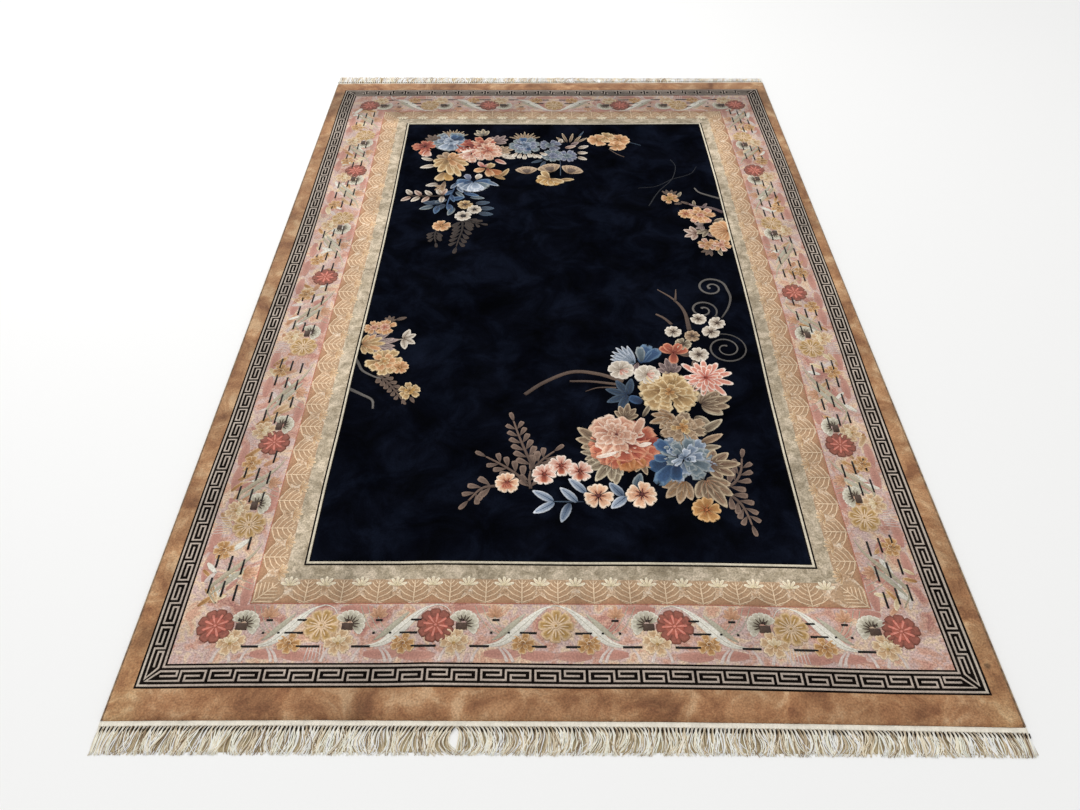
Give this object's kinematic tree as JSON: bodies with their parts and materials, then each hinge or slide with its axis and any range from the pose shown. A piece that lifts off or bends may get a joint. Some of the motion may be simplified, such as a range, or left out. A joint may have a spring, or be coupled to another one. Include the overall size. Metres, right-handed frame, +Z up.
{
  "type": "silk pile rug with a fringe at each end",
  "caption": "Flat rectangular silk pile rug with bound long sides and a knotted fringe on each short end.",
  "frame": {"origin": "middle of the laid rug, on the floor", "axes": "+Y along the warp towards the far fringe, +X across the rug to the right, +Z up out of the pile"},
  "size_m": [1.833, 2.8727, 0.0085],
  "materials": {
    "pile": "sheared and carved silk pile with a soft nap sheen",
    "selvedge": "overcast binding yarn",
    "fringe": "matt cream warp yarn"
  },
  "bodies": {
    "root": {"rug_pile": "pile", "selvedge_left": "selvedge", "selvedge_right": "selvedge", "fringe_front": "fringe", "fringe_back": "fringe"}
  },
  "joints": []
}
